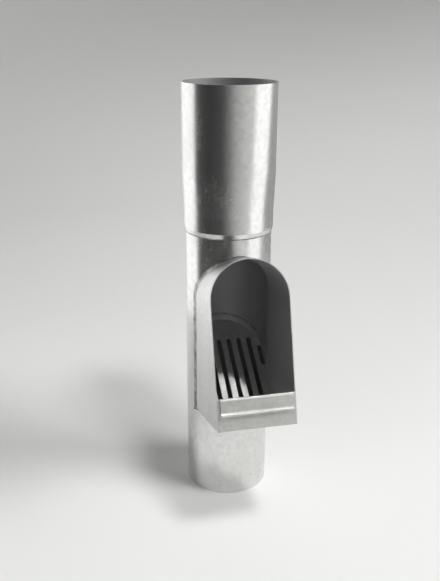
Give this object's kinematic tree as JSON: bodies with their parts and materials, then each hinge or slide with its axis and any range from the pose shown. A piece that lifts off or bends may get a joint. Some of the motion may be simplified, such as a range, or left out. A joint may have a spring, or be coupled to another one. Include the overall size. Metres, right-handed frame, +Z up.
{
  "type": "downpipe leaf filter",
  "caption": "Zinc sheet leaf filter for a round downpipe: wide socket on a straight pipe, with an arched hood, open in front over a folded lip and a sloping slotted sieve.",
  "frame": {"origin": "on the pipe's axis, at its lower rim", "axes": "+Z up along the pipe's axis, towards the inlet socket; the hood's mouth faces -Y"},
  "size_m": [0.085, 0.1584, 0.397],
  "materials": {
    "zinc_sheet": "bright rolled zinc, satin mirror"
  },
  "bodies": {
    "root": {"inlet_socket": "zinc_sheet", "body_pipe": "zinc_sheet", "hood": "zinc_sheet", "chute_floor": "zinc_sheet", "sieve": "zinc_sheet"}
  },
  "joints": []
}
